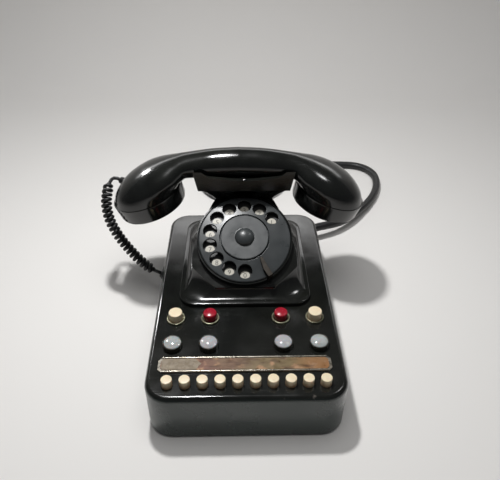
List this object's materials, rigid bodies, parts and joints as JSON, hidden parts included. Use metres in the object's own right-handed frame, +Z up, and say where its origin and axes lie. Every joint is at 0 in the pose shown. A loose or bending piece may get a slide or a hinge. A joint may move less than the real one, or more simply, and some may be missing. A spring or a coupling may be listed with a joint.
{
  "type": "desk telephone",
  "caption": "Black bakelite desk telephone with a rotary dial, handset, a row of line keys, lamps and call buttons",
  "frame": {"origin": "on the table under the four feet, below the middle of the base box", "axes": "+X to the right seen from the front, +Y to the back, +Z up"},
  "size_m": [0.3083, 0.429, 0.1441],
  "materials": {
    "bakelite": "polished black bakelite, lightly worn",
    "wheel_plastic": "satin dark grey, handled",
    "key_ivory": "aged ivory plastic",
    "button_red": "red plastic",
    "rim_metal": "dulled pale brass",
    "lens_glass": "milky grey lens",
    "bulb_glass": "plain bulb",
    "bezel_dark": "dark turned metal",
    "nickel": "nickel plate, dulled",
    "label_paint": "corroded label plate under grey celluloid",
    "number_black": "black with pale number spots",
    "steel": "plain steel",
    "dark_steel": "black enamelled sheet",
    "spring_brass": "plain brass",
    "laminate": "brown laminate",
    "coil_winding": "varnished winding",
    "can_paint": "plain can",
    "foot_rubber": "black rubber",
    "cord_rubber": "black rubber"
  },
  "bodies": {
    "phone": {"base_box": "bakelite", "bottom_plate": "dark_steel", "rubber_feet": "foot_rubber", "case_screws": "steel", "phone_housing": "bakelite", "contact_plate": "laminate", "key_contacts": "spring_brass", "lamp_bulbs": "bulb_glass", "lamp_lenses": "lens_glass", "lamp_bezels": "bezel_dark", "button_rims": "rim_metal", "label_frame": "nickel", "label_plate": "label_paint", "dial_case": "bakelite", "number_plate": "number_black", "dial_frame": "steel", "spring_drum": "steel", "governor_cup": "spring_brass", "pulse_contacts": "spring_brass", "finger_stop": "dark_steel", "hook_contacts": "laminate", "bell_gongs": "nickel", "ringer_coils": "coil_winding", "capacitor": "can_paint", "terminal_strip": "laminate", "handset_cord": "cord_rubber", "handset_cord_gland": "cord_rubber", "line_cord": "cord_rubber", "line_cord_coil": "cord_rubber", "line_cord_gland": "cord_rubber", "line_plug": "bakelite"},
    "dial": {"finger_wheel": "wheel_plastic", "wheel_centre": "wheel_plastic", "dial_shaft": "steel", "dial_gear": "spring_brass"},
    "governor": {"governor_shaft": "steel"},
    "fork": {"cradle_fork": "bakelite", "cradle_stud": "bakelite"},
    "hook": {"hook_lever": "steel"},
    "handset": {"handset_body": "bakelite", "earpiece_cap": "bakelite", "mouthpiece_cap": "bakelite", "receiver_capsule": "steel", "transmitter_capsule": "steel", "handset_cord_ferrule": "cord_rubber"},
    "clapper": {"bell_clapper": "steel"},
    "key_1": {"line_key_1": "key_ivory"},
    "key_2": {"line_key_2": "key_ivory"},
    "key_3": {"line_key_3": "key_ivory"},
    "key_4": {"line_key_4": "key_ivory"},
    "key_5": {"line_key_5": "key_ivory"},
    "key_6": {"line_key_6": "key_ivory"},
    "key_7": {"line_key_7": "key_ivory"},
    "key_8": {"line_key_8": "key_ivory"},
    "key_9": {"line_key_9": "key_ivory"},
    "key_10": {"line_key_10": "key_ivory"},
    "button_1": {"call_button_1": "key_ivory"},
    "button_2": {"call_button_2": "button_red"},
    "button_3": {"call_button_3": "button_red"},
    "button_4": {"call_button_4": "key_ivory"}
  },
  "joints": [
    {"name": "handset_lift", "type": "slide", "parent": "phone", "child": "handset", "axis": [0, 0, 1], "range_m": [0, 0.12], "deforming": ["handset_cord"]},
    {"name": "fork_rise", "type": "slide", "parent": "phone", "child": "fork", "axis": [0, 0, 1], "range_m": [0, 0.0055]},
    {"name": "hook_turn", "type": "hinge", "parent": "phone", "child": "hook", "pos_m": [0, 0.08, 0.0845], "axis": [-1, 0, 0], "range_deg": [0, 26]},
    {"name": "dial_turn", "type": "hinge", "parent": "phone", "child": "dial", "pos_m": [0, 0.0188, 0.0853], "axis": [0, 0.5, -0.866], "range_deg": [0, 329], "stiffness_Nm_per_rad": 0.002, "springref_deg": -28.65},
    {"name": "governor_turn", "type": "hinge", "parent": "phone", "child": "governor", "pos_m": [0.022, 0.02486, 0.0888], "axis": [0, 0.5, -0.866], "range_deg": [-1001, 0]},
    {"name": "key_1_press", "type": "slide", "parent": "phone", "child": "key_1", "axis": [0, 0, -1], "range_m": [0, 0.0037], "stiffness_N_per_m": 120, "springref_m": -0.002},
    {"name": "key_2_press", "type": "slide", "parent": "phone", "child": "key_2", "axis": [0, 0, -1], "range_m": [0, 0.0037], "stiffness_N_per_m": 120, "springref_m": -0.002},
    {"name": "key_3_press", "type": "slide", "parent": "phone", "child": "key_3", "axis": [0, 0, -1], "range_m": [0, 0.0037], "stiffness_N_per_m": 120, "springref_m": -0.002},
    {"name": "key_4_press", "type": "slide", "parent": "phone", "child": "key_4", "axis": [0, 0, -1], "range_m": [0, 0.0037], "stiffness_N_per_m": 120, "springref_m": -0.002},
    {"name": "key_5_press", "type": "slide", "parent": "phone", "child": "key_5", "axis": [0, 0, -1], "range_m": [0, 0.0037], "stiffness_N_per_m": 120, "springref_m": -0.002},
    {"name": "key_6_press", "type": "slide", "parent": "phone", "child": "key_6", "axis": [0, 0, -1], "range_m": [0, 0.0037], "stiffness_N_per_m": 120, "springref_m": -0.002},
    {"name": "key_7_press", "type": "slide", "parent": "phone", "child": "key_7", "axis": [0, 0, -1], "range_m": [0, 0.0037], "stiffness_N_per_m": 120, "springref_m": -0.002},
    {"name": "key_8_press", "type": "slide", "parent": "phone", "child": "key_8", "axis": [0, 0, -1], "range_m": [0, 0.0037], "stiffness_N_per_m": 120, "springref_m": -0.002},
    {"name": "key_9_press", "type": "slide", "parent": "phone", "child": "key_9", "axis": [0, 0, -1], "range_m": [0, 0.0037], "stiffness_N_per_m": 120, "springref_m": -0.002},
    {"name": "key_10_press", "type": "slide", "parent": "phone", "child": "key_10", "axis": [0, 0, -1], "range_m": [0, 0.0037], "stiffness_N_per_m": 120, "springref_m": -0.002},
    {"name": "button_1_press", "type": "slide", "parent": "phone", "child": "button_1", "axis": [0, 0, -1], "range_m": [0, 0.0037], "stiffness_N_per_m": 120, "springref_m": -0.002},
    {"name": "button_2_press", "type": "slide", "parent": "phone", "child": "button_2", "axis": [0, 0, -1], "range_m": [0, 0.0037], "stiffness_N_per_m": 120, "springref_m": -0.002},
    {"name": "button_3_press", "type": "slide", "parent": "phone", "child": "button_3", "axis": [0, 0, -1], "range_m": [0, 0.0037], "stiffness_N_per_m": 120, "springref_m": -0.002},
    {"name": "button_4_press", "type": "slide", "parent": "phone", "child": "button_4", "axis": [0, 0, -1], "range_m": [0, 0.0037], "stiffness_N_per_m": 120, "springref_m": -0.002},
    {"name": "clapper_swing", "type": "hinge", "parent": "phone", "child": "clapper", "pos_m": [0, 0.052, 0.014], "axis": [0, 0, 1], "range_deg": [-10, 10], "stiffness_Nm_per_rad": 0.002}
  ],
  "couplings": [
    {"joint": "fork_rise", "follows": "handset_lift", "ratio": 0.045833},
    {"joint": "hook_turn", "follows": "handset_lift", "rad_per_m": 3.7815},
    {"joint": "governor_turn", "follows": "dial_turn", "ratio": -3.035}
  ]
}
